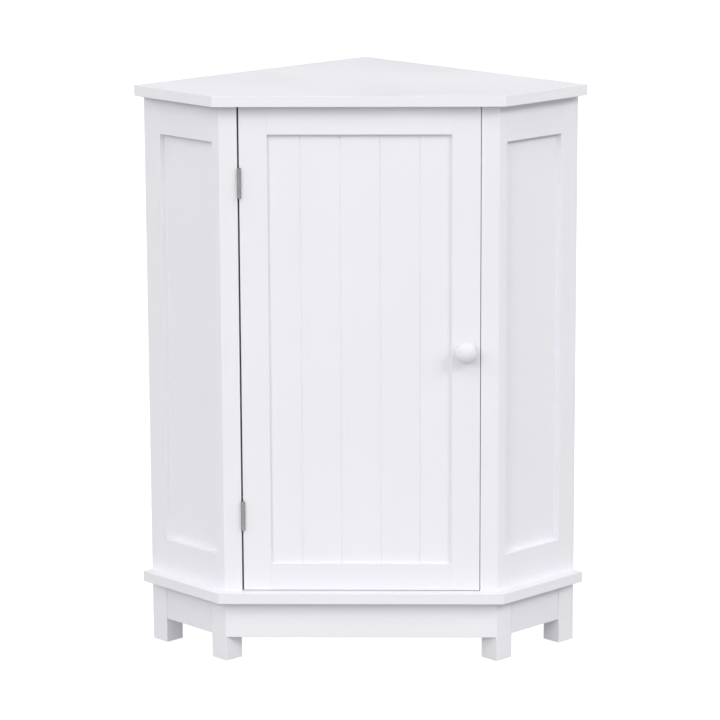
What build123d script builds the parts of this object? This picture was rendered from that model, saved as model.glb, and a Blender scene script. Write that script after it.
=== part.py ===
from build123d import *
import os
from math import asin, cos, pi, radians, sin, sqrt

os.makedirs("parts", exist_ok=True)

# ---------------------------------------------------------------------------
# Corner cabinet, millimetres, +Z up. Front faces -Y, wall corner points to +Y.
# Work is laid out with y = 0 on the front edge of the two boards and shifted
# at export so that the bounding box is centred on the origin in plan.
# ---------------------------------------------------------------------------

# overall
height = 800.0            # floor to top face
wall_length = 442.5       # boards, along each wall
side_length = 162.0       # boards, short side edge square to each wall
board_t = 15.0            # top and bottom board thickness
bottom_z0 = 88.5          # underside of bottom board
board_edge = 0.5          # eased edges of both boards
glide_proud = 0.5         # plastic glide below each leg

# carcass
over_front = 16.5         # boards over the front plane
over_side = 17.2          # boards over the side planes
frame_t = 18.0            # side frame thickness
recess = 9.0              # face of a side panel behind its frame
panel_t = 5.0             # side panels, door panel and wall panels
tongue = 8.0              # how far a panel enters its frame
post_side_w = 15.0        # width of a front post seen on the side plane
door_opening = 165.8      # half width between the two front posts
stile_w = 32.9            # rear stile of a side frame
side_rail_top = 51.5
side_rail_bottom = 50.0
rear_post = 28.0
rabbet_w = 9.0

# base
leg = 30.0
apron_set = 1.5
apron_t = 15.5
apron_z0 = 35.0

# door
door_x0, door_x1 = -163.5, 165.0
door_z0, door_z1 = 104.3, 783.5
door_t = 18.0
door_recess = 6.0         # face of the board panel behind the door's frame
door_stile_left, door_stile_right = 38.5, 39.0
door_rail_top = 38.5
door_rail_bottom = 38.2
groove_pitch = 54.4
groove_w = 2.6
groove_d = 1.2

# hinge
hinge_x = -163.5
hinge_y = over_front - 3.2
hinge_h = 41.0
hinge_z = (212.0, 679.2)
barrel_r = 2.7
pin_r = 1.2
pin_clear = 0.05
leaf_t = 1.0
leaf_w = over_front + 16.0  # rear edge of the leaves, y
knuckles = 5
knuckle_gap = 0.2

# knob
knob_x, knob_z = 145.3, 446.0
knob_proj = 25.0
knob_r = 15.0

# shelf
shelf_t = 12.0
pin_levels = (372.0, 436.0, 500.0)
pin_level = 436.0
shelf_pin_r = 2.5
fit = 0.05                # radial clearance of fixed pins and screws

# derived
Q = sqrt(2.0)
half_w = wall_length / Q
half_front = half_w - side_length / Q
depth = half_w + side_length / Q
z_lo = bottom_z0 + board_t
z_hi = height - board_t
k_side = -half_front + over_side * Q          # left side plane: x + y = k
cx = k_side - over_front                      # front left corner of carcass
side_t = (depth - over_front + cx) / Q        # carcass side length
wall_s = wall_length - over_side              # side plane, along the wall
y_knob = over_front - knob_proj
y_shift = -(depth + y_knob) / 2.0


# ---------------------------------------------------------------------------
# helpers
# ---------------------------------------------------------------------------
def S(t, d):
    """Left side plane: t back from the front corner, d inward."""
    return (cx + (d - t) / Q, over_front + (d + t) / Q)


def W(s, d):
    """Left wall plane: s from the wall corner, d inward."""
    return ((d - s) / Q, depth - (s + d) / Q)


def prism(pts, z0, z1):
    face = Face(Wire.make_polygon([Vector(x, y, z0) for x, y in pts], close=True))
    return Solid.extrude(face, Vector(0, 0, z1 - z0))


def block(x0, x1, y0, y1, z0, z1):
    return prism([(x0, y0), (x1, y0), (x1, y1), (x0, y1)], z0, z1)


def sbox(t0, t1, d0, d1, z0, z1):
    return prism([S(t0, d0), S(t1, d0), S(t1, d1), S(t0, d1)], z0, z1)


def wbox(s0, s1, d0, d1, z0, z1):
    return prism([W(s0, d0), W(s1, d0), W(s1, d1), W(s0, d1)], z0, z1)


def first(shape):
    """The single solid of a shape."""
    got = shape.solids()
    assert len(got) == 1, len(got)
    return got[0]


def cut(shape, *tools):
    for tool in tools:
        shape = shape - tool
    return first(shape)


def ease_v(shape, points, r):
    """Round vertical edges that stand on the given plan points."""
    edges = []
    for e in shape.edges():
        a, b = e.position_at(0), e.position_at(1)
        if abs(a.X - b.X) < 1e-6 and abs(a.Y - b.Y) < 1e-6:
            if any(abs(a.X - x) < 1e-3 and abs(a.Y - y) < 1e-3 for x, y in points):
                edges.append(e)
    return first(shape.fillet(r, edges)) if edges else shape


def ease_line(shape, p, q, zs, r):
    """Round the horizontal edges that run between plan points p and q."""
    edges = []
    for e in shape.edges():
        a, b = e.position_at(0), e.position_at(1)
        if abs(a.Z - b.Z) > 1e-6 or not any(abs(a.Z - z) < 1e-6 for z in zs):
            continue
        n = sqrt((q[0] - p[0]) ** 2 + (q[1] - p[1]) ** 2)
        off = [abs((q[0] - p[0]) * (v.Y - p[1]) - (q[1] - p[1]) * (v.X - p[0])) / n for v in (a, b)]
        if max(off) < 1e-3 and e.length > 1.0:
            edges.append(e)
    return first(shape.fillet(r, edges)) if edges else shape


def turned(points, plane):
    """Solid of revolution: points are (radius, height along plane.z)."""
    face = Face(Wire.make_polygon([Vector(r, 0, h) for r, h in points], close=True))
    return plane.location * Solid.revolve(face, 360, Axis.Z)


def rod(p, direction, r, length):
    return turned([(0, 0), (r, 0), (r, length), (0, length)], Plane(origin=p, z_dir=direction))


def screw_profile(length, d, head_d, grow=0.0):
    r, h = d / 2 + grow, head_d / 2 + grow
    rim = 0.25
    cone = (head_d - d) / 2
    return [(0, 0), (h, 0), (h, rim), (r, rim + cone), (r, length - 1.6 * d / 2), (0.3, length), (0, length)]


def screw(p, direction, length, d, head_d):
    """Countersunk cross-head screw driven from p along direction."""
    plane = Plane(origin=p, z_dir=direction)
    body = turned(screw_profile(length, d, head_d), plane)
    w, l, h = head_d * 0.13, head_d * 0.56, head_d * 0.17
    slot = plane.location * (Box(w, l, 2 * h) + Box(l, w, 2 * h))
    return first(body - slot)


def screw_hole(p, direction, length, d, head_d):
    """Hole for the screw, open to the outside above its head."""
    plane = Plane(origin=p, z_dir=direction)
    profile = screw_profile(length + 0.6, d, head_d, fit)
    return turned([(0, -1.0), (profile[1][0], -1.0)] + profile[2:], plane)


def flip(shape):
    """Mirror image for the right-hand side."""
    return shape.mirror(Plane.YZ)


NODES = {}


def put(name, *shapes):
    NODES[name] = list(shapes)


# ---------------------------------------------------------------------------
# fastener positions used by several pieces
# ---------------------------------------------------------------------------
dowel_r = 4.0
dowel_top, dowel_deep = 10.0, 15.0
dowel_left = [(-175.5, over_front + 13.0), S(140.0, 9.0), S((post_side_w + side_t - stile_w) / 2, 9.0)]
dowel_mid = [(0.0, depth - rear_post / Q)]


def dowel(x, y, z0, z1):
    c = 0.8
    pts = [(0, 0), (dowel_r - c, 0), (dowel_r, c), (dowel_r, z1 - z0 - c), (dowel_r - c, z1 - z0), (0, z1 - z0)]
    return turned(pts, Plane(origin=(x, y, z0), z_dir=(0, 0, 1)))


def dowel_hole(x, y, z0, z1):
    return rod((x, y, z0), (0, 0, 1), dowel_r + fit, z1 - z0)


dowel_xy = dowel_left + dowel_mid + [(-x, y) for x, y in dowel_left]
top_dowel = (z_hi - dowel_deep, z_hi + dowel_top)
bot_dowel = (z_lo - dowel_top, z_lo + dowel_deep)


def dowel_holes_for(points):
    out = []
    for x, y in points:
        out.append(dowel_hole(x, y, top_dowel[0] - 0.5, z_hi + 1))
        out.append(dowel_hole(x, y, z_lo - 1, bot_dowel[1] + 0.5))
    return out


leg_front_screw = S(15.0, 9.0)
leg_rear_screw = S(side_t - 15.0, 22.0)
leg_back_screw = (0.0, depth - 33.0)
leg_screw_xy = [leg_front_screw, (-leg_front_screw[0], leg_front_screw[1]),
                leg_rear_screw, (-leg_rear_screw[0], leg_rear_screw[1]), leg_back_screw]
leg_screw = dict(length=50.0, d=5.0, head_d=9.5)

# ---------------------------------------------------------------------------
# top and bottom boards
# ---------------------------------------------------------------------------
plan = [(0, depth), (-half_w, depth - half_w), (-half_front, 0), (half_front, 0), (half_w, depth - half_w)]


def board(z0, z1):
    b = prism(plan, z0, z1)
    b = ease_v(b, [plan[1], plan[2], plan[3], plan[4]], 1.0)
    edges = []
    for e in b.edges():
        a, c = e.position_at(0), e.position_at(1)
        m = e.position_at(0.5)
        if abs(a.Z - c.Z) > 1e-6:
            continue
        on_wall = min(abs(p.Y + abs(p.X) - depth) for p in (m,)) < 0.05 and e.length > 10
        if not on_wall:
            edges.append(e)
    try:
        b = first(b.fillet(board_edge, edges))
    except Exception:
        long_edges = [e for e in edges if e.length > 20]
        b = first(b.fillet(board_edge, long_edges))
    return b


top = board(z_hi, height)
top = cut(top, *[dowel_hole(x, y, z_hi - 1, top_dowel[1] + 0.5) for x, y in dowel_xy])
bottom = board(bottom_z0, z_lo)
bottom = cut(bottom, *[dowel_hole(x, y, bot_dowel[0] - 0.5, z_lo + 1) for x, y in dowel_xy])
bottom = cut(bottom, *[screw_hole((x, y, z_lo), (0, 0, -1), **leg_screw) for x, y in leg_screw_xy])

# ---------------------------------------------------------------------------
# front posts: five-sided, front face and side face in the two visible planes
# ---------------------------------------------------------------------------
p2, p3 = S(post_side_w, 0), S(post_side_w, frame_t)
post_pts = [(-door_opening, over_front), (cx, over_front), p2, p3, (-door_opening, p3[1])]
post = prism(post_pts, z_lo, z_hi)
post = ease_v(post, [(cx, over_front)], 1.2)
post = ease_v(post, [(-door_opening, over_front)], 0.8)
post = ease_v(post, [p2], 0.35)
post = cut(post, sbox(post_side_w - tongue, post_side_w + 1, recess, recess + panel_t, z_lo - 1, z_hi + 1))
post = cut(post, *dowel_holes_for([dowel_left[0]]))
post_back_y = p3[1]
pin_depth = 9.0
front_pin_x = -177.0
post = cut(post, *[rod((front_pin_x, post_back_y + 0.01, z), (0, -1, 0), shelf_pin_r + fit, pin_depth) for z in pin_levels])

# hinge screw positions in a leaf: (y, dz)
hinge_spots = [(over_front + 11.5, -14.0), (over_front + 5.5, 0.0), (over_front + 11.5, 14.0)]
hinge_screw = dict(length=14.0, d=3.0, head_d=5.4)
x_post_face = -door_opening
x_frame_leaf = x_post_face + leaf_t           # outer face of the frame leaf
x_door_leaf = door_x0 - leaf_t                # outer face of the door leaf
head_in = 0.05
frame_holes = [screw_hole((x_frame_leaf - head_in, y, hz + dz), (-1, 0, 0), **hinge_screw)
               for hz in hinge_z for y, dz in hinge_spots]
frame_screws = [screw((x_frame_leaf - head_in, y, hz + dz), (-1, 0, 0), **hinge_screw)
                for hz in hinge_z for y, dz in hinge_spots]
door_holes = [screw_hole((x_door_leaf + head_in, y, hz + dz), (1, 0, 0), **hinge_screw)
              for hz in hinge_z for y, dz in hinge_spots]
door_screws = [screw((x_door_leaf + head_in, y, hz + dz), (1, 0, 0), **hinge_screw)
               for hz in hinge_z for y, dz in hinge_spots]
post_left = cut(post, *frame_holes)
post_right = flip(post)

# ---------------------------------------------------------------------------
# side frames: rear stile, two rails with stub tenons, inset flat panel
# ---------------------------------------------------------------------------
t_a, t_b = post_side_w, side_t - stile_w       # recess from t_a to t_b
z_a, z_b = z_lo + side_rail_bottom, z_hi - side_rail_top

panel_screw = dict(length=16.0, d=3.0, head_d=5.6)
screw_zs = (130.0, 340.0, 550.0, 760.0)
s_in, s_out = rear_post - rabbet_w / 2, wall_s - frame_t + rabbet_w / 2
wall_dir = (1 / Q, -1 / Q, 0)
wall_spots = [(*W(s, 0.05), z) for s in (s_in, s_out) for z in screw_zs]
wall_holes = [screw_hole(p, wall_dir, **panel_screw) for p in wall_spots]

stile = sbox(t_b, side_t, 0, frame_t, z_lo, z_hi)
stile = ease_v(stile, [S(t_b, 0)], 0.5)
stile = ease_v(stile, [S(side_t, 0)], 0.5)
stile = cut(stile, sbox(t_b - 1, t_b + tongue, recess, recess + panel_t, z_lo - 1, z_hi + 1),
            sbox(side_t - panel_t, side_t + 1, frame_t - rabbet_w, frame_t + 1, z_lo - 1, z_hi + 1))
stile = cut(stile, *dowel_holes_for([dowel_left[1]]))
side_pin_t = 139.0
pin_in = (1 / Q, 1 / Q, 0)
for z in pin_levels:
    x, y = S(side_pin_t, frame_t - pin_depth)
    stile = cut(stile, rod((x, y, z), pin_in, shelf_pin_r + fit, pin_depth + 1))
stile = cut(stile, *wall_holes)


def side_rail(z0, z1, z_edge, z_groove0, z_groove1, tenon0, tenon1):
    r = sbox(t_a, t_b, 0, frame_t, z0, z1)
    r = ease_line(r, S(t_a, 0), S(t_b, 0), (z_edge,), 0.5)
    r = ease_v(r, [S(t_a, 0), S(t_b, 0)], 0.35)
    r = cut(r, sbox(t_a - 1, t_b + 1, recess, recess + panel_t, z_groove0, z_groove1))
    for t0, t1 in ((t_a - tongue, t_a), (t_b, t_b + tongue)):
        r = first(r + sbox(t0, t1, recess, recess + panel_t, tenon0, tenon1))
    return r


rail_bottom = side_rail(z_lo, z_a, z_a, z_a - tongue, z_a + 1, z_lo, z_a - tongue)
rail_top = side_rail(z_b, z_hi, z_b, z_b - 1, z_b + tongue, z_b + tongue, z_hi)
rail_bottom = cut(rail_bottom, dowel_hole(*dowel_left[2], z_lo - 1, bot_dowel[1] + 0.5))
rail_top = cut(rail_top, dowel_hole(*dowel_left[2], top_dowel[0] - 0.5, z_hi + 1))
side_panel = sbox(t_a - tongue, t_b + tongue, recess, recess + panel_t, z_a - tongue, z_b + tongue)

# ---------------------------------------------------------------------------
# wall corner post with rabbets, and the two wall panels
# ---------------------------------------------------------------------------
y_flat = depth - 32.3
a1 = W(rear_post, 0)
x_cut = y_flat - (depth - rear_post * Q)
corner = prism([(0, depth), a1, (-x_cut, y_flat), (x_cut, y_flat), (-a1[0], a1[1])], z_lo, z_hi)
slot = wbox(rear_post - rabbet_w, rear_post + 1, -1, panel_t, z_lo - 1, z_hi + 1)
corner = cut(corner, slot, flip(slot))
corner = cut(corner, *dowel_holes_for(dowel_mid))
corner = cut(corner, *[rod((0, y_flat - 0.01, z), (0, 1, 0), shelf_pin_r + fit, pin_depth) for z in pin_levels])
corner = cut(corner, *wall_holes, *[flip(h) for h in wall_holes])

wall_panel = wbox(rear_post - rabbet_w + 0.4, wall_s - frame_t + rabbet_w - 0.4, 0, panel_t, z_lo, z_hi)
wall_panel = cut(wall_panel, *wall_holes)
wall_screws = [screw(p, wall_dir, **panel_screw) for p in wall_spots]

# ---------------------------------------------------------------------------
# legs, aprons, glides
# ---------------------------------------------------------------------------
leg_z0 = glide_proud
glide_stem = 10.0


def leg_holes(x, y, sx, sy):
    return [rod((x, y, leg_z0 - 0.01), (0, 0, 1), 1.5 + fit, glide_stem + 0.51),
            screw_hole((sx, sy, z_lo), (0, 0, -1), **leg_screw)]


front_leg = sbox(0, leg, apron_set, apron_set + leg, leg_z0, bottom_z0)
front_leg = ease_v(front_leg, [S(t, apron_set + d) for t in (0, leg) for d in (0, leg)], 0.8)
fl_c = S(leg / 2, apron_set + leg / 2)
front_leg = cut(front_leg, *leg_holes(*fl_c, *leg_front_screw))

rear_leg = sbox(side_t - leg, side_t, 0, leg, leg_z0, bottom_z0)
rear_leg = ease_v(rear_leg, [S(side_t - leg, 0), S(side_t, 0), S(side_t, leg), S(side_t - leg, leg)], 0.8)
rl_c = S(side_t - leg / 2, leg / 2)
rear_leg = cut(rear_leg, *leg_holes(*rl_c, *leg_rear_screw))

back_leg = wbox(0, leg, 0, leg, leg_z0, bottom_z0)
back_leg = ease_v(back_leg, [W(0, 0), W(leg, 0), W(leg, leg), W(0, leg)], 0.8)
bl_c = W(leg / 2, leg / 2)
back_leg = cut(back_leg, *leg_holes(*bl_c, *leg_back_screw))

ya, yb = over_front + apron_set, over_front + apron_set + apron_t
xa, xb = cx + apron_set, cx + apron_set + apron_t   # ends meet the front legs' inner faces
apron_front = prism([(xa, ya), (-xa, ya), (-xb, yb), (xb, yb)], apron_z0, bottom_z0)
apron_side = sbox(leg, side_t - leg, apron_set, apron_set + apron_t, apron_z0, bottom_z0)
apron_wall = wbox(leg, wall_s - leg, apron_set, apron_set + apron_t, apron_z0, bottom_z0)
apron_front = ease_line(apron_front, (xa, ya), (-xa, ya), (apron_z0,), 0.6)
apron_side = ease_line(apron_side, S(0, apron_set), S(1, apron_set), (apron_z0,), 0.6)
apron_wall = ease_line(apron_wall, W(0, apron_set), W(1, apron_set), (apron_z0,), 0.6)


def glide(x, y):
    pts = [(0, 0), (7.6, 0), (8.0, 0.2), (8.0, glide_proud), (1.5, glide_proud), (1.5, glide_proud + glide_stem - 1.5),
           (0.2, glide_proud + glide_stem), (0, glide_proud + glide_stem)]
    return turned(pts, Plane(origin=(x, y, 0), z_dir=(0, 0, 1)))


glide_xy = [fl_c, (-fl_c[0], fl_c[1]), rl_c, (-rl_c[0], rl_c[1]), bl_c]

# ---------------------------------------------------------------------------
# shelf and its pins
# ---------------------------------------------------------------------------
gap_s = 1.5
ks = k_side + (frame_t + gap_s) * Q                    # x + y on the left shelf edge
kw = depth - (panel_t + gap_s) * Q                     # y - x on the left wall edge
ys0, ys1 = post_back_y + 2.2, y_flat - 1.5
sh = [(ks - ys0, ys0), ((ks - kw) / 2, (ks + kw) / 2), (ys1 - kw, ys1)]
shelf_plan = sh + [(-x, y) for x, y in reversed(sh)]
shelf_z = pin_level + shelf_pin_r
shelf = prism(shelf_plan, shelf_z, shelf_z + shelf_t)
shelf = ease_line(shelf, sh[0], (-sh[0][0], sh[0][1]), (shelf_z, shelf_z + shelf_t), 1.0)


def shelf_pin(p, direction):
    """Collared peg: 8 mm in the hole, collar against the wood, nose under the shelf."""
    n = 8.0
    pts = [(0, -n), (shelf_pin_r - 0.4, -n), (shelf_pin_r, -n + 0.4), (shelf_pin_r, 0), (3.6, 0), (3.6, 1.2),
           (shelf_pin_r, 1.2), (shelf_pin_r, 8.4), (shelf_pin_r - 0.6, 9.0), (0, 9.0)]
    return turned(pts, Plane(origin=p, z_dir=direction))


px, py = S(side_pin_t, frame_t)
pins = [shelf_pin((front_pin_x, post_back_y, pin_level), (0, 1, 0)),
        shelf_pin((-front_pin_x, post_back_y, pin_level), (0, 1, 0)),
        shelf_pin((px, py, pin_level), (1 / Q, 1 / Q, 0)),
        shelf_pin((-px, py, pin_level), (-1 / Q, 1 / Q, 0)),
        shelf_pin((0, y_flat, pin_level), (0, -1, 0))]

# ---------------------------------------------------------------------------
# door: two stiles, two rails with stub tenons, grooved board panel
# ---------------------------------------------------------------------------
dy0, dy1 = over_front, over_front + door_t
gy0, gy1 = dy0 + door_recess, dy0 + door_recess + panel_t
rx0, rx1 = door_x0 + door_stile_left, door_x1 - door_stile_right
rz0, rz1 = door_z0 + door_rail_bottom, door_z1 - door_rail_top


def ease_box(b, x=None, z=None, y=dy0, r=0.5):
    """Round the front edges of a door member that lie at the given x or z."""
    edges = []
    for e in b.edges():
        a, c = e.position_at(0), e.position_at(1)
        if abs(a.Y - y) > 1e-6 or abs(c.Y - y) > 1e-6:
            continue
        if x is not None and abs(a.X - c.X) < 1e-6 and any(abs(a.X - v) < 1e-6 for v in x):
            edges.append(e)
        if z is not None and abs(a.Z - c.Z) < 1e-6 and any(abs(a.Z - v) < 1e-6 for v in z):
            edges.append(e)
    return first(b.fillet(r, edges))


hinge_stile = block(door_x0, rx0, dy0, dy1, door_z0, door_z1)
hinge_stile = ease_box(hinge_stile, x=(door_x0,), z=(door_z0, door_z1), r=0.8)
hinge_stile = ease_box(hinge_stile, x=(rx0,), r=0.45)
hinge_stile = cut(hinge_stile, block(rx0 - tongue, rx0 + 1, gy0, gy1, door_z0 - 1, door_z1 + 1), *door_holes)

lock_stile = block(rx1, door_x1, dy0, dy1, door_z0, door_z1)
lock_stile = ease_box(lock_stile, x=(door_x1,), z=(door_z0, door_z1), r=0.8)
lock_stile = ease_box(lock_stile, x=(rx1,), r=0.45)
knob_screw_r = 2.0
lock_stile = cut(lock_stile, block(rx1 - 1, rx1 + tongue, gy0, gy1, door_z0 - 1, door_z1 + 1),
                 rod((knob_x, dy0 - 1, knob_z), (0, 1, 0), knob_screw_r + 0.25, door_t + 2))


def door_rail(z0, z1, z_edge, z_out, groove0, groove1, tenon0, tenon1):
    r = block(rx0, rx1, dy0, dy1, z0, z1)
    r = ease_box(r, z=(z_out,), r=0.8)
    r = ease_box(r, z=(z_edge,), r=0.45)
    r = ease_box(r, x=(rx0, rx1), r=0.3)
    r = cut(r, block(rx0 - 1, rx1 + 1, gy0, gy1, groove0, groove1))
    for x0, x1 in ((rx0 - tongue, rx0), (rx1, rx1 + tongue)):
        r = first(r + block(x0, x1, gy0, gy1, tenon0, tenon1))
    return r


door_top = door_rail(rz1, door_z1, rz1, door_z1, rz1 - 1, rz1 + tongue, rz1 + tongue, door_z1)
door_bottom = door_rail(door_z0, rz0, rz0, door_z0, rz0 - tongue, rz0 + 1, door_z0, rz0 - tongue)

door_panel = block(rx0 - tongue, rx1 + tongue, gy0, gy1, rz0 - tongue, rz1 + tongue)
x_mid = (rx0 + rx1) / 2
for i in (-1.5, -0.5, 0.5, 1.5):
    gx = x_mid + i * groove_pitch
    vee = prism([(gx - groove_w / 2, gy0 - 1e-6), (gx + groove_w / 2, gy0 - 1e-6), (gx, gy0 + groove_d)], rz0 - tongue - 1, rz1 + tongue + 1)
    door_panel = cut(door_panel, vee)

# ---------------------------------------------------------------------------
# knob and its screw
# ---------------------------------------------------------------------------
kp = Plane(origin=(knob_x, dy0, knob_z), z_dir=(0, -1, 0))


def knob_solid():
    """Round knob: foot ring, waisted neck, full rounded cap."""
    R, L, rho = knob_r, knob_proj, 5.5
    al, be = radians(50.0), radians(-70.0)

    def on(c, h, r, a):
        return (c + r * cos(a), 0, h + r * sin(a))

    pr = R - rho + rho * cos(al)
    rb = pr / cos(al)
    hc = L - rho * sin(al) - rb * (1 - sin(al))
    rim0, rim1, rim2 = on(R - rho, hc, rho, be), (R, 0, hc), on(R - rho, hc, rho, al)
    h0 = L - rb
    dome1 = on(0, h0, rb, (al + pi / 2) / 2)
    neck_r, neck_h = 5.6, 2.2
    r2 = (rim0[0] - neck_r) / (1 - cos(be))
    cc, ch = rim0[0] + r2 * cos(be), rim0[2] + r2 * sin(be)
    a0 = pi + be
    a1 = pi + asin((ch - neck_h) / r2)
    neck1, neck2 = on(cc, ch, r2, (a0 + a1) / 2), on(cc, ch, r2, a1)
    lines = [Line((0, 0, 0), (7.5, 0, 0)), Line((7.5, 0, 0), (7.5, 0, neck_h - 0.4)),
             ThreePointArc((7.5, 0, neck_h - 0.4), (7.5 - 0.117, 0, neck_h - 0.117), (7.1, 0, neck_h)),
             Line((7.1, 0, neck_h), neck2), ThreePointArc(neck2, neck1, rim0),
             ThreePointArc(rim0, rim1, rim2), ThreePointArc(rim2, dome1, (0, 0, L)), Line((0, 0, L), (0, 0, 0))]
    face = Face(Wire([e for l in lines for e in l.edges()]))
    return kp.location * Solid.revolve(face, 360, Axis.Z)


knob = cut(knob_solid(), rod((knob_x, dy0 + 1, knob_z), (0, -1, 0), knob_screw_r + fit, 13.0))
kh, kr = 2.4, 3.8
knob_pts = [(0, 0), (2.6, 0), (kr, 0.9), (kr, kh), (knob_screw_r, kh), (knob_screw_r, kh + door_t + 10.6), (knob_screw_r - 0.5, kh + door_t + 11.2), (0, kh + door_t + 11.2)]
ksp = Plane(origin=(knob_x, dy1 + kh, knob_z), z_dir=(0, -1, 0))
knob_screw = turned(knob_pts, ksp)
knob_screw = first(knob_screw - ksp.location * (Box(0.9, 4.4, 2.6) + Box(4.4, 0.9, 2.6)))

# ---------------------------------------------------------------------------
# hinges: two leaves with interleaved knuckles on a fixed pin
# ---------------------------------------------------------------------------
pitch = hinge_h / knuckles


def leaf(hz, x0, x1, own):
    """Plate in the gap with its own knuckles wrapped round the pin."""
    z0 = hz - hinge_h / 2
    b = block(x0, x1, dy0, leaf_w, z0, z0 + hinge_h)
    back = [e for e in b.edges() if abs(e.position_at(0.5).Y - leaf_w) < 1e-6
            and abs(e.position_at(0.5).Z - z0) * abs(e.position_at(0.5).Z - z0 - hinge_h) < 1e-6]
    out = []
    for e in b.edges():
        a, c = e.position_at(0), e.position_at(1)
        if abs(a.Y - leaf_w) < 1e-6 and abs(c.Y - leaf_w) < 1e-6 and abs(a.X - c.X) > 0.5:
            out.append(e)
    b = first(b.fillet(2.0, out))
    for i in own:
        k0, k1 = z0 + i * pitch + knuckle_gap / 2, z0 + (i + 1) * pitch - knuckle_gap / 2
        if i == 0:
            k0 = z0
        if i == knuckles - 1:
            k1 = z0 + hinge_h
        ring = Cylinder(barrel_r, k1 - k0, align=(Align.CENTER, Align.CENTER, Align.MIN))
        ring = Pos(hinge_x, hinge_y, k0) * ring
        strip = block(x0, x1, hinge_y + 0.5, dy0 + 1.0, k0, k1)
        b = b + ring + strip
    b = first(b)
    b = b - Pos(hinge_x, hinge_y, z0 - 1) * Cylinder(pin_r + pin_clear, hinge_h + 2, align=(Align.CENTER, Align.CENTER, Align.MIN))
    return first(b)


def hinge_pin(hz):
    z0, z1 = -hinge_h / 2, hinge_h / 2
    pts = [(0, z0 - 0.9), (1.5, z0 - 0.8), (2.1, z0 - 0.15), (2.1, z0), (pin_r, z0), (pin_r, z1), (2.1, z1), (2.1, z1 + 0.15), (1.5, z1 + 0.8), (0, z1 + 0.9)]
    return turned(pts, Plane(origin=(hinge_x, hinge_y, hz), z_dir=(0, 0, 1)))


# ---------------------------------------------------------------------------
# magnetic catch under the top board, strike plate on the door
# ---------------------------------------------------------------------------
mx = 95.0
mag_face = dy1 + 1.2 + 0.3
my0, my1 = mag_face + 1.0, mag_face + 16.0
catch = block(mx - 17, mx + 17, my0, my1, z_hi - 14, z_hi)
catch = first(catch.fillet(1.2, [e for e in catch.edges() if abs(e.position_at(0.5).Z - (z_hi - 14)) < 1e-6]))
wings = block(mx - 27, mx + 27, my0 + 2, my1, z_hi - 3, z_hi)
wings = ease_v(wings, [(mx - 27, my0 + 2), (mx + 27, my0 + 2), (mx - 27, my1), (mx + 27, my1)], 3.0)
catch = first(catch + wings)
mag_box = block(mx - 15, mx + 15, my0 - 1, my0 + 11, z_hi - 12, z_hi - 4)
catch = cut(catch, mag_box)
magnet = block(mx - 15, mx + 15, mag_face, my0 + 11, z_hi - 12, z_hi - 4)
magnet = cut(magnet, block(mx - 16, mx + 16, mag_face - 1, mag_face + 1.6, z_hi - 10.4, z_hi - 5.6))
catch_screw = dict(length=13.0, d=3.0, head_d=5.4)
catch_spots = [(mx - 22, (my0 + my1) / 2 + 1, z_hi - 3 + 0.05), (mx + 22, (my0 + my1) / 2 + 1, z_hi - 3 + 0.05)]
catch_holes = [screw_hole(p, (0, 0, 1), **catch_screw) for p in catch_spots]
catch = cut(catch, *catch_holes)
top = cut(top, *catch_holes)
catch_screws = [screw(p, (0, 0, 1), **catch_screw) for p in catch_spots]

strike = block(mx - 16, mx + 16, dy1, dy1 + 1.2, 768.0, 781.0)
strike = first(strike.fillet(2.0, [e for e in strike.edges() if abs(e.length - 1.2) < 1e-6]))
strike_spec = dict(length=12.0, d=3.0, head_d=5.0)
strike_at = (mx, dy1 + 1.2 - 0.05, 774.5)
strike_hole = screw_hole(strike_at, (0, -1, 0), **strike_spec)
strike = cut(strike, strike_hole)
door_top = cut(door_top, strike_hole)
strike_screw = screw(strike_at, (0, -1, 0), **strike_spec)

# ---------------------------------------------------------------------------
# nodes
# ---------------------------------------------------------------------------
put("top_board", top)
put("bottom_board", bottom)
put("front_post_left", post_left)
put("front_post_right", post_right)
for side, f in (("left", lambda s: s), ("right", flip)):
    put("side_stile_" + side, f(stile))
    put("side_rail_top_" + side, f(rail_top))
    put("side_rail_bottom_" + side, f(rail_bottom))
    put("side_panel_" + side, f(side_panel))
    put("wall_panel_" + side, f(wall_panel))
    put("leg_front_" + side, f(front_leg))
    put("leg_rear_" + side, f(rear_leg))
    put("apron_side_" + side, f(apron_side))
    put("apron_wall_" + side, f(apron_wall))
put("corner_post", corner)
put("leg_back", back_leg)
put("apron_front", apron_front)
put("leg_glides", *[glide(x, y) for x, y in glide_xy])
put("leg_screws", *[screw((x, y, z_lo - 0.05), (0, 0, -1), **leg_screw) for x, y in leg_screw_xy])
put("top_dowels", *[dowel(x, y, *top_dowel) for x, y in dowel_xy])
put("bottom_dowels", *[dowel(x, y, *bot_dowel) for x, y in dowel_xy])
put("wall_panel_screws", *wall_screws, *[flip(s) for s in wall_screws])
put("shelf", shelf)
put("shelf_pins", *pins)
put("door_stile_hinge", hinge_stile)
put("door_stile_lock", lock_stile)
put("door_rail_top", door_top)
put("door_rail_bottom", door_bottom)
put("door_panel", door_panel)
put("knob", knob)
put("knob_screw", knob_screw)
for name, hz in (("lower", hinge_z[0]), ("upper", hinge_z[1])):
    f_leaf = leaf(hz, x_post_face, x_frame_leaf, (0, 2, 4))
    d_leaf = leaf(hz, x_door_leaf, door_x0, (1, 3))
    put("hinge_frame_leaf_" + name, cut(f_leaf, *frame_holes))
    put("hinge_door_leaf_" + name, cut(d_leaf, *door_holes))
    put("hinge_pin_" + name, hinge_pin(hz))
put("hinge_frame_screws", *frame_screws)
put("hinge_door_screws", *door_screws)
put("catch_body", catch)
put("catch_magnet", magnet)
put("catch_screws", *catch_screws)
put("strike_plate", strike)
put("strike_screw", strike_screw)

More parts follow.
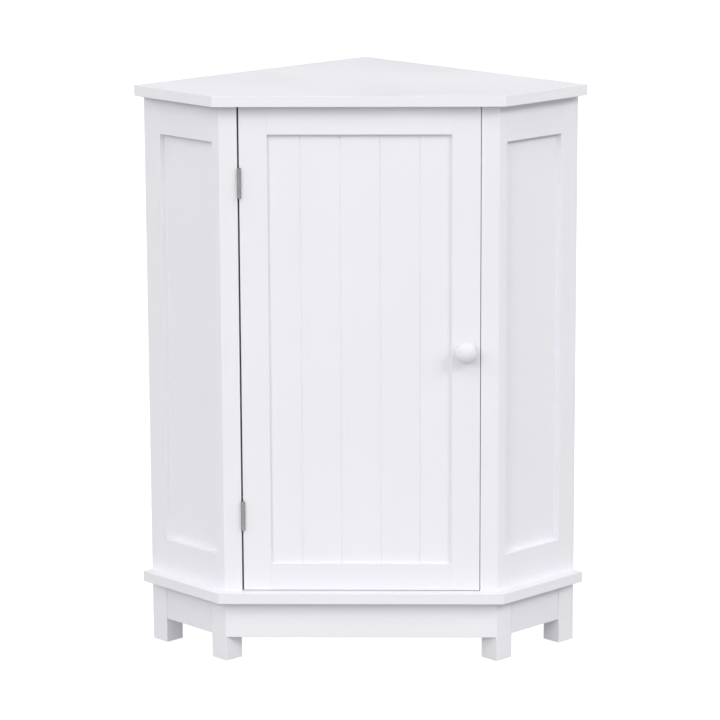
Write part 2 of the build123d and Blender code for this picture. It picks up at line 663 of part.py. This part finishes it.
for name, shapes in NODES.items():
    solids = [Pos(0, y_shift, 0) * s for s in shapes]
    solids = [s for shape in solids for s in shape.solids()]
    out = solids[0] if len(solids) == 1 else Compound(children=solids)
    export_step(out, "parts/" + name + ".step")

print("nodes", len(NODES), "y_shift", round(y_shift, 4), "cx", round(cx, 3), "side_t", round(side_t, 3),
      "post_back", round(post_back_y + y_shift, 3), "axis", round(hinge_x, 3), round(hinge_y + y_shift, 4))
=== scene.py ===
import math
import random

import bmesh
import bpy
from mathutils import Matrix, Vector

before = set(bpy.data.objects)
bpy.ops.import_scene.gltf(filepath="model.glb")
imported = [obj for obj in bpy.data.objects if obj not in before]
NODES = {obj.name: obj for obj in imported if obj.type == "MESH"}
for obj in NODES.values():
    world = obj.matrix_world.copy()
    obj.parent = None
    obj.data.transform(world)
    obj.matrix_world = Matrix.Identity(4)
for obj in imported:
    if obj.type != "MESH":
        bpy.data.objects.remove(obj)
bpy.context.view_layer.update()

scene = bpy.context.scene
Q = math.sqrt(0.5)


# ---------------------------------------------------------------------------
# node helpers
# ---------------------------------------------------------------------------
class Tree:
    """A material's node tree, with short names for the nodes used here."""

    def __init__(self, name):
        self.mat = bpy.data.materials.new(name)
        self.mat.use_nodes = True
        self.nt = self.mat.node_tree
        self.nt.nodes.clear()
        self.out = self.nt.nodes.new("ShaderNodeOutputMaterial")
        self.bsdf = self.nt.nodes.new("ShaderNodeBsdfPrincipled")
        self.link(self.bsdf.outputs["BSDF"], self.out.inputs["Surface"])
        self.coord = self.nt.nodes.new("ShaderNodeTexCoord").outputs["Object"]

    def link(self, a, b):
        self.nt.links.new(a, b)

    def turned(self, axis_angle, scale, offset=(0, 0, 0)):
        """Object coordinates turned about Z, then stretched per axis."""
        turn = self.nt.nodes.new("ShaderNodeMapping")
        turn.inputs["Rotation"].default_value = (0, 0, axis_angle)
        turn.inputs["Location"].default_value = offset
        self.link(self.coord, turn.inputs["Vector"])
        stretch = self.nt.nodes.new("ShaderNodeMapping")
        stretch.inputs["Scale"].default_value = scale
        self.link(turn.outputs[0], stretch.inputs["Vector"])
        return stretch.outputs[0]

    def noise(self, vector, scale, detail=2.0, rough=0.5, distortion=0.0):
        n = self.nt.nodes.new("ShaderNodeTexNoise")
        n.inputs["Scale"].default_value = scale
        n.inputs["Detail"].default_value = detail
        n.inputs["Roughness"].default_value = rough
        n.inputs["Distortion"].default_value = distortion
        self.link(vector, n.inputs["Vector"])
        return n.outputs[0]

    def voronoi(self, vector, scale, feature="F1"):
        n = self.nt.nodes.new("ShaderNodeTexVoronoi")
        n.feature = feature
        n.inputs["Scale"].default_value = scale
        self.link(vector, n.inputs["Vector"])
        return n.outputs[0]

    def ranged(self, value, lo, hi, a, b):
        n = self.nt.nodes.new("ShaderNodeMapRange")
        n.clamp = True
        for k, v in (("From Min", lo), ("From Max", hi), ("To Min", a), ("To Max", b)):
            n.inputs[k].default_value = v
        self.link(value, n.inputs["Value"])
        return n.outputs[0]

    def math(self, op, a, b):
        n = self.nt.nodes.new("ShaderNodeMath")
        n.operation = op
        for i, v in enumerate((a, b)):
            if isinstance(v, (int, float)):
                n.inputs[i].default_value = v
            else:
                self.link(v, n.inputs[i])
        return n.outputs[0]

    def mix(self, factor, a, b):
        n = self.nt.nodes.new("ShaderNodeMix")
        n.data_type = "RGBA"
        for i, v in ((0, factor), (6, a), (7, b)):
            if isinstance(v, (int, float)):
                n.inputs[i].default_value = v
            elif isinstance(v, tuple):
                n.inputs[i].default_value = (*v, 1.0)
            else:
                self.link(v, n.inputs[i])
        return n.outputs[2]

    def bump(self, height, distance, normal=None, strength=1.0):
        n = self.nt.nodes.new("ShaderNodeBump")
        n.inputs["Strength"].default_value = strength
        n.inputs["Distance"].default_value = distance
        self.link(height, n.inputs["Height"])
        if normal is not None:
            self.link(normal, n.inputs["Normal"])
        return n.outputs[0]

    def wear(self, colour=None, rough=None, normal=None, **plain):
        for k, v in (("Base Color", colour), ("Roughness", rough), ("Normal", normal)):
            if v is not None:
                self.link(v, self.bsdf.inputs[k])
        for k, v in plain.items():
            self.bsdf.inputs[k.replace("_", " ")].default_value = v
        return self.mat


def shade(c, k):
    return tuple(min(1.0, x * k) for x in c)


PAINT = (0.858, 0.849, 0.893)


def painted(name, seed, along="z", angle=0.0, tone=1.0, base=PAINT, rough=(0.36, 0.48), peel=1.0, grain=1.0, lines=0.0):
    """Sprayed satin paint over board: orange peel, the grain or fibre below just telling through, mottled tone and gloss."""
    t = Tree(name)
    rnd = random.Random(seed)
    off = tuple(rnd.uniform(-3, 3) for _ in range(3))
    even = t.turned(0.0, (1, 1, 1), off)
    s = {"x": (3.0, 55.0, 55.0), "y": (55.0, 3.0, 55.0), "z": (55.0, 55.0, 3.0)}[along]
    fibre = t.turned(angle, s, off)
    cloud = t.noise(even, 6.0, 3.0, 0.55)
    mottle = t.noise(even, 85.0, 2.0, 0.6)
    streak = t.noise(fibre, 1.0, 4.0, 0.6)
    fine = t.noise(even, 620.0, 2.0, 0.5)
    dust = t.noise(even, 2400.0, 1.0, 0.5)
    # tone scales the whole colour; for a few lower pieces it is lowered as painted shade
    a, b = shade(base, tone * 0.985), shade(base, tone * 1.012)
    tint = t.mix(t.ranged(cloud, 0.3, 0.7, 0.0, 1.0), a, b)
    speck = t.mix(t.ranged(mottle, 0.25, 0.75, 0.0, 0.5), tint, shade(base, tone * 0.993))
    colour = t.mix(t.ranged(streak, 0.3, 0.75, 0.0, 0.55), speck, shade((base[0], base[1] * 0.999, base[2] * 0.996), tone * 0.99))
    r = t.math("ADD", t.ranged(cloud, 0.3, 0.7, rough[0], rough[1]), t.ranged(mottle, 0.2, 0.8, -0.03, 0.03))
    n = t.bump(streak, 5.0e-5 * grain)
    n = t.bump(fine, 2.6e-5 * peel, n)
    n = t.bump(dust, 3.0e-6 * peel, n)
    if lines:
        brush = t.noise(t.turned(angle, {"x": (6.0, 900.0, 900.0), "y": (900.0, 6.0, 900.0), "z": (900.0, 900.0, 6.0)}[along], off), 1.0, 2.0, 0.5)
        n = t.bump(brush, 6.0e-6 * lines, n)
    return t.wear(colour, r, n, Specular_IOR_Level=0.5, IOR=1.47)


def hardboard(name, seed, angle):
    """Thin board faced white, slightly open and fibrous, flatter than the paint."""
    t = Tree(name)
    rnd = random.Random(seed)
    off = tuple(rnd.uniform(-3, 3) for _ in range(3))
    even = t.turned(angle, (1, 1, 1), off)
    felt = t.noise(even, 420.0, 5.0, 0.7)
    lump = t.noise(even, 26.0, 3.0, 0.6)
    fleck = t.noise(t.turned(angle, (240.0, 240.0, 60.0), off), 1.0, 3.0, 0.65)
    base = (0.832, 0.825, 0.836)
    tint = t.mix(t.ranged(lump, 0.3, 0.7, 0.0, 1.0), shade(base, 0.985), shade(base, 1.015))
    colour = t.mix(t.ranged(fleck, 0.6, 0.78, 0.0, 0.35), tint, (0.735, 0.71, 0.68))
    r = t.ranged(felt, 0.25, 0.75, 0.55, 0.72)
    n = t.bump(lump, 6.0e-5)
    n = t.bump(felt, 3.0e-5, n)
    return t.wear(colour, r, n, Specular_IOR_Level=0.4)


def metal(name, base, rough, along="z", scratch=1.0, spots=0.0, tint=(0.9, 0.86, 0.8)):
    """Plated steel with fine brushing, faint handling marks and a slightly uneven plating colour."""
    t = Tree(name)
    even = t.turned(0.0, (1, 1, 1), (0.4, 0.2, 0.7))
    s = {"x": (40.0, 2600.0, 2600.0), "y": (2600.0, 40.0, 2600.0), "z": (2600.0, 2600.0, 40.0)}[along]
    brush = t.noise(t.turned(0.0, s), 1.0, 2.0, 0.6)
    cloud = t.noise(even, 130.0, 4.0, 0.6)
    pit = t.voronoi(even, 900.0)
    colour = t.mix(t.ranged(cloud, 0.3, 0.7, 0.0, 1.0), shade(base, 0.9), shade(base, 1.05))
    colour = t.mix(t.ranged(brush, 0.35, 0.8, 0.0, 0.35), colour, shade(tuple(a * b for a, b in zip(base, tint)), 0.9))
    if spots:
        colour = t.mix(t.ranged(pit, 0.0, 0.22, spots, 0.0), colour, shade(base, 0.55))
    r = t.math("ADD", t.ranged(cloud, 0.3, 0.7, rough[0], rough[1]), t.ranged(brush, 0.2, 0.8, -0.05, 0.06))
    n = t.bump(brush, 4.0e-6 * scratch)
    n = t.bump(cloud, 1.2e-5, n)
    return t.wear(colour, r, n, Metallic=1.0)


def moulded(name, base, rough, grain=1.0):
    """Injection-moulded plastic: fine spark-eroded texture and faint flow marks."""
    t = Tree(name)
    even = t.turned(0.0, (1, 1, 1), (0.1, 0.9, 0.3))
    spark = t.noise(even, 1900.0, 3.0, 0.6)
    flow = t.noise(t.turned(0.0, (30.0, 140.0, 60.0)), 1.0, 3.0, 0.6)
    colour = t.mix(t.ranged(flow, 0.3, 0.7, 0.0, 1.0), shade(base, 0.965), shade(base, 1.015))
    r = t.math("ADD", t.ranged(flow, 0.3, 0.7, rough[0], rough[1]), t.ranged(spark, 0.3, 0.7, -0.04, 0.04))
    n = t.bump(flow, 2.0e-5)
    n = t.bump(spark, 8.0e-6 * grain, n)
    return t.wear(colour, r, n, Specular_IOR_Level=0.5)


def beechwood(name):
    """Bare fluted beech: straight grain with the short dark flecks of the rays."""
    t = Tree(name)
    grain = t.noise(t.turned(0.0, (420.0, 420.0, 16.0)), 1.0, 5.0, 0.62, 0.3)
    ray = t.voronoi(t.turned(0.0, (1300.0, 1300.0, 260.0)), 1.0)
    colour = t.mix(t.ranged(grain, 0.3, 0.7, 0.0, 1.0), (0.50, 0.325, 0.185), (0.665, 0.475, 0.30))
    colour = t.mix(t.ranged(ray, 0.05, 0.2, 0.5, 0.0), colour, (0.36, 0.21, 0.11))
    n = t.bump(grain, 6.0e-5)
    return t.wear(colour, t.ranged(grain, 0.3, 0.7, 0.5, 0.68), n, Specular_IOR_Level=0.35)


# ---------------------------------------------------------------------------
# materials on the carried-over nodes; each board or stick has its own piece of finish, with a tone that differs at
# random, except where a lower piece's tone is set darker as painted shade
# ---------------------------------------------------------------------------
LEFT, RIGHT = math.radians(45), math.radians(-45)   # turn that lays the side's length along X
layout = {
    "top_board": dict(along="x", tone=0.998, lines=0.4),
    # bottom_board: tone set darker as painted shade, cancelling the light thrown up onto its front edge from below
    "bottom_board": dict(along="x", tone=0.976, lines=0.4),
    "front_post_left": dict(along="z"),
    "front_post_right": dict(along="z", tone=0.999),
    "corner_post": dict(along="z", tone=0.985, rough=(0.42, 0.54)),
    "door_stile_hinge": dict(along="z", tone=1.0),
    "door_stile_lock": dict(along="z", tone=0.998),
    "door_rail_top": dict(along="x", tone=1.001),
    # door_rail_bottom: tone set darker as painted shade, cancelling the light thrown up from the bottom board
    "door_rail_bottom": dict(along="x", tone=0.988),
    "door_panel": dict(along="z", tone=1.0, grain=1.3, lines=0.6),
    "apron_front": dict(along="x", tone=0.996),
    "leg_back": dict(along="z", tone=0.99),
    "shelf": dict(along="x", tone=0.99, rough=(0.42, 0.54)),
}
for side, turn in (("left", LEFT), ("right", RIGHT)):
    other = RIGHT if side == "left" else LEFT
    layout["side_stile_" + side] = dict(along="z", angle=turn, tone=0.999)
    layout["side_rail_top_" + side] = dict(along="x", angle=turn, tone=0.997)
    layout["side_rail_bottom_" + side] = dict(along="x", angle=turn, tone=0.985)
    layout["side_panel_" + side] = dict(along="z", angle=turn, tone=1.0, grain=1.2)
    # apron_side: tone set darker as painted shade for the shadow under the bottom board
    layout["apron_side_" + side] = dict(along="x", angle=turn, tone=0.968)
    layout["apron_wall_" + side] = dict(along="x", angle=other, tone=0.985)
    layout["leg_front_" + side] = dict(along="z", angle=turn, tone=0.997)
    layout["leg_rear_" + side] = dict(along="z", angle=turn, tone=0.995)

finish = {}
for i, (name, how) in enumerate(sorted(layout.items())):
    finish[name] = painted("paint_" + name, 100 + i, **how)
# knob: its white is set darker than the cabinet's paint, painted shade that holds down how brightly its dome is lit
finish["knob"] = painted("paint_knob", 77, along="y", base=(0.80, 0.791, 0.826), rough=(0.34, 0.44), peel=0.7, grain=0.4)
finish["wall_panel_left"] = hardboard("backing_left", 31, RIGHT)
finish["wall_panel_right"] = hardboard("backing_right", 32, LEFT)

nickel = metal("satin_nickel", (0.285, 0.283, 0.282), (0.30, 0.42), "z", 1.0, 0.0, (0.94, 0.93, 0.91))
zinc = metal("bright_zinc", (0.60, 0.605, 0.62), (0.28, 0.42), "x", 1.0, 0.25, (0.95, 0.95, 1.0))
screw_zinc = metal("screw_zinc", (0.56, 0.555, 0.545), (0.24, 0.38), "y", 0.6, 0.2, (1.0, 0.95, 0.85))
for n in ("hinge_frame_leaf_lower", "hinge_frame_leaf_upper", "hinge_door_leaf_lower", "hinge_door_leaf_upper",
          "hinge_pin_lower", "hinge_pin_upper", "shelf_pins"):
    finish[n] = nickel
for n in ("catch_magnet", "strike_plate"):
    finish[n] = zinc
for n in ("knob_screw", "hinge_frame_screws", "hinge_door_screws", "wall_panel_screws", "leg_screws", "catch_screws", "strike_screw"):
    finish[n] = screw_zinc
finish["catch_body"] = moulded("catch_plastic", (0.80, 0.80, 0.785), (0.42, 0.5))
finish["leg_glides"] = moulded("glide_plastic", (0.62, 0.62, 0.605), (0.5, 0.6), 1.4)
finish["top_dowels"] = finish["bottom_dowels"] = beechwood("beech_wood")

for name, ob in NODES.items():
    mat = finish[name]
    if not ob.material_slots:
        ob.data.materials.append(mat)
    for slot in ob.material_slots:
        slot.material = mat


# ---------------------------------------------------------------------------
# floor and light
# ---------------------------------------------------------------------------
def floor_material():
    t = Tree("studio_floor")
    cloud = t.noise(t.turned(0.0, (1, 1, 1)), 0.9, 3.0, 0.5)
    fine = t.noise(t.turned(0.0, (1, 1, 1)), 220.0, 3.0, 0.6)
    colour = t.mix(t.ranged(cloud, 0.3, 0.7, 0.0, 1.0), (0.295, 0.295, 0.296), (0.305, 0.305, 0.306))
    n = t.bump(fine, 2.0e-5)
    t.wear(colour, t.ranged(fine, 0.3, 0.7, 0.75, 0.85), n, Specular_IOR_Level=0.1)
    t.bsdf.inputs["Emission Color"].default_value = (1, 1, 1, 1)
    t.bsdf.inputs["Emission Strength"].default_value = FLOOR_GLOW
    return t.mat


FLOOR_GLOW = 0.92
FLOOR_Z = -0.0002
bm = bmesh.new()
half = 40.0
corners = [bm.verts.new((x, y, FLOOR_Z)) for x, y in ((-half, -half), (half, -half), (half, half), (-half, half))]
bm.faces.new(corners)
mesh = bpy.data.meshes.new("floor")
bm.to_mesh(mesh)
bm.free()
floor = bpy.data.objects.new("floor", mesh)
scene.collection.objects.link(floor)
floor.data.materials.append(floor_material())
floor.visible_diffuse = False
floor.visible_shadow = False


def backdrop():
    """Seamless white paper far behind and around the cabinet, seen directly only."""
    t = Tree("studio_paper")
    fine = t.noise(t.turned(0.0, (1, 1, 1)), 3.0, 3.0, 0.5)
    t.wear(t.mix(t.ranged(fine, 0.3, 0.7, 0.0, 1.0), (0.78, 0.78, 0.78), (0.80, 0.80, 0.80)), None, None, Roughness=0.9, Specular_IOR_Level=0.0)
    t.bsdf.inputs["Emission Color"].default_value = (1, 1, 1, 1)
    t.bsdf.inputs["Emission Strength"].default_value = 1.05
    turns, radius, top = 96, 38.0, 40.0
    b = bmesh.new()
    rows = [[b.verts.new((radius * math.cos(2 * math.pi * i / turns), radius * math.sin(2 * math.pi * i / turns), z))
             for i in range(turns)] for z in (-6.0, top)]
    cap = b.verts.new((0, 0, top))
    for i in range(turns):
        j = (i + 1) % turns
        b.faces.new((rows[0][j], rows[0][i], rows[1][i], rows[1][j]))
        b.faces.new((rows[1][j], rows[1][i], cap))
    me = bpy.data.meshes.new("paper")
    b.to_mesh(me)
    b.free()
    ob = bpy.data.objects.new("paper", me)
    scene.collection.objects.link(ob)
    ob.data.materials.append(t.mat)
    ob.visible_diffuse = ob.visible_glossy = ob.visible_transmission = ob.visible_volume_scatter = ob.visible_shadow = False
    return ob


paper = backdrop()

# name: (azimuth from the front, elevation, distance, width, height, watts); azimuth is positive to the right
AIM = Vector((0.0, -0.05, 0.42))
LIGHTS = {
    "box_left": (-22.0, 50.0, 8.0, 2.74, 2.29, 76.0),
    "box_low_left": (-25.0, 20.0, 8.0, 2.74, 2.29, 110.0),
    "box_right": (40.0, 35.0, 8.0, 2.74, 2.29, 144.0),
    "box_top": (0.0, 65.0, 8.0, 2.74, 2.29, 24.0),
}
# white floor just in front, which throws light up under the boards: (x0, x1, y0, y1, brightness)
BOUNCE = {
    "bounce_near": (-0.30, 0.30, -0.37, -0.225, 0.150),
    "bounce_far": (-0.50, 0.50, -0.80, -0.37, 0.083),
}
# brightness of the studio's walls and ceiling: (lowest elevation in degrees, front, sides, back)
BANDS = [
    (-90.0, 0.495, 0.100, 0.800),
    (0.0, 0.305, 0.508, 0.300),
    (20.0, 1.30, 2.83, 1.160),
    (38.0, 0.305, 0.305, 0.300),
    (58.0, 0.305, 0.305, 0.305),
]


def area(name, azimuth, elevation, distance, width, height, watts):
    a, e = math.radians(azimuth), math.radians(elevation)
    towards = Vector((math.sin(a) * math.cos(e), -math.cos(a) * math.cos(e), math.sin(e)))
    data = bpy.data.lights.new(name, "AREA")
    data.shape = "RECTANGLE"
    data.size, data.size_y = width, height
    data.energy = watts
    data.color = (1.0, 1.0, 1.0)
    ob = bpy.data.objects.new(name, data)
    ob.location = AIM + towards * distance
    ob.rotation_euler = towards.to_track_quat("Z", "Y").to_euler()
    scene.collection.objects.link(ob)
    return ob


def bounce(name, x0, x1, y0, y1, brightness):
    data = bpy.data.lights.new(name, "AREA")
    data.shape = "RECTANGLE"
    data.size, data.size_y = x1 - x0, y1 - y0
    data.energy = brightness * math.pi * (x1 - x0) * (y1 - y0)
    ob = bpy.data.objects.new(name, data)
    ob.location = ((x0 + x1) / 2, (y0 + y1) / 2, 0.001)
    ob.rotation_euler = (math.pi, 0, 0)
    ob.visible_camera = False
    scene.collection.objects.link(ob)
    return ob


lamps = {name: area(name, *spec) for name, spec in LIGHTS.items()}
for name, spec in BOUNCE.items():
    lamps[name] = bounce(name, *spec)

world = bpy.data.worlds.new("studio")
scene.world = world
world.use_nodes = True
wt = world.node_tree
wt.nodes.clear()
w_out = wt.nodes.new("ShaderNodeOutputWorld")
w_bg = wt.nodes.new("ShaderNodeBackground")
w_co = wt.nodes.new("ShaderNodeTexCoord")
w_unit = wt.nodes.new("ShaderNodeVectorMath")
w_unit.operation = "NORMALIZE"
w_xyz = wt.nodes.new("ShaderNodeSeparateXYZ")
wt.links.new(w_co.outputs["Generated"], w_unit.inputs[0])
wt.links.new(w_unit.outputs[0], w_xyz.inputs[0])
wx, wy, wz = w_xyz.outputs


def w_math(op, a, b):
    n = wt.nodes.new("ShaderNodeMath")
    n.operation = op
    for i, v in enumerate((a, b)):
        if isinstance(v, (int, float)):
            n.inputs[i].default_value = v
        else:
            wt.links.new(v, n.inputs[i])
    return n.outputs[0]


def w_band(column):
    """Brightness over elevation, with soft steps between the bands."""
    ramp = wt.nodes.new("ShaderNodeValToRGB")
    stops = ramp.color_ramp
    stops.interpolation = "LINEAR"
    soft = math.radians(1.5)
    points = []
    for k, band in enumerate(BANDS):
        e = math.radians(band[0])
        if k:
            points.append((math.sin(e - soft), BANDS[k - 1][column]))
            points.append((math.sin(e + soft), band[column]))
    points = [(-1.0, BANDS[0][column])] + points + [(1.0, BANDS[-1][column])]
    stops.elements[0].position, stops.elements[1].position = 0.0, 1.0
    for el, v in ((stops.elements[0], points[0][1]), (stops.elements[1], points[-1][1])):
        el.color = (v, v, v, 1.0)
    for z, v in points[1:-1]:
        stops.elements.new((z + 1.0) / 2.0).color = (v, v, v, 1.0)
    wt.links.new(w_math("MULTIPLY", w_math("ADD", wz, 1.0), 0.5), ramp.inputs["Fac"])
    return ramp.outputs["Color"]


w_flat = w_math("MAXIMUM", w_math("ADD", w_math("MULTIPLY", wx, wx), w_math("MULTIPLY", wy, wy)), 1e-6)
w_front = w_math("MAXIMUM", w_math("MULTIPLY", wy, -1.0), 0.0)
w_back = w_math("MAXIMUM", wy, 0.0)
windows = (w_math("DIVIDE", w_math("MULTIPLY", w_front, w_front), w_flat),
           w_math("DIVIDE", w_math("MULTIPLY", wx, wx), w_flat),
           w_math("DIVIDE", w_math("MULTIPLY", w_back, w_back), w_flat))
w_parts = [w_math("MULTIPLY", w_band(k + 1), windows[k]) for k in range(3)]
wt.links.new(w_math("ADD", w_math("ADD", w_parts[0], w_parts[1]), w_parts[2]), w_bg.inputs["Color"])
wt.links.new(w_bg.outputs[0], w_out.inputs["Surface"])

scene.view_settings.view_transform = "Standard"
scene.view_settings.look = "None"
scene.view_settings.exposure = 0.0
scene.view_settings.gamma = 1.0

# ---------------------------------------------------------------------------
# camera: solved from board corners, silhouettes, feet and door features
# ---------------------------------------------------------------------------
camera = bpy.data.cameras.new("camera")
camera.sensor_fit = "HORIZONTAL"
camera.sensor_width = 36.0
camera.lens = 3295.13 / 720.0 * 36.0
camera.clip_start, camera.clip_end = 0.05, 200.0
camera.dof.use_dof = False
eye = bpy.data.objects.new("camera", camera)
scene.collection.objects.link(eye)
right = Vector((0.99977303, 0.02083332, -0.00445751))
ahead = Vector((-0.02130453, 0.97649103, -0.21450265))
up = right.cross(ahead)
m = Matrix((right, up, -ahead)).transposed().to_4x4()
m.translation = Vector((0.096280, -4.612290, 1.403680))
eye.matrix_world = m
scene.camera = eye
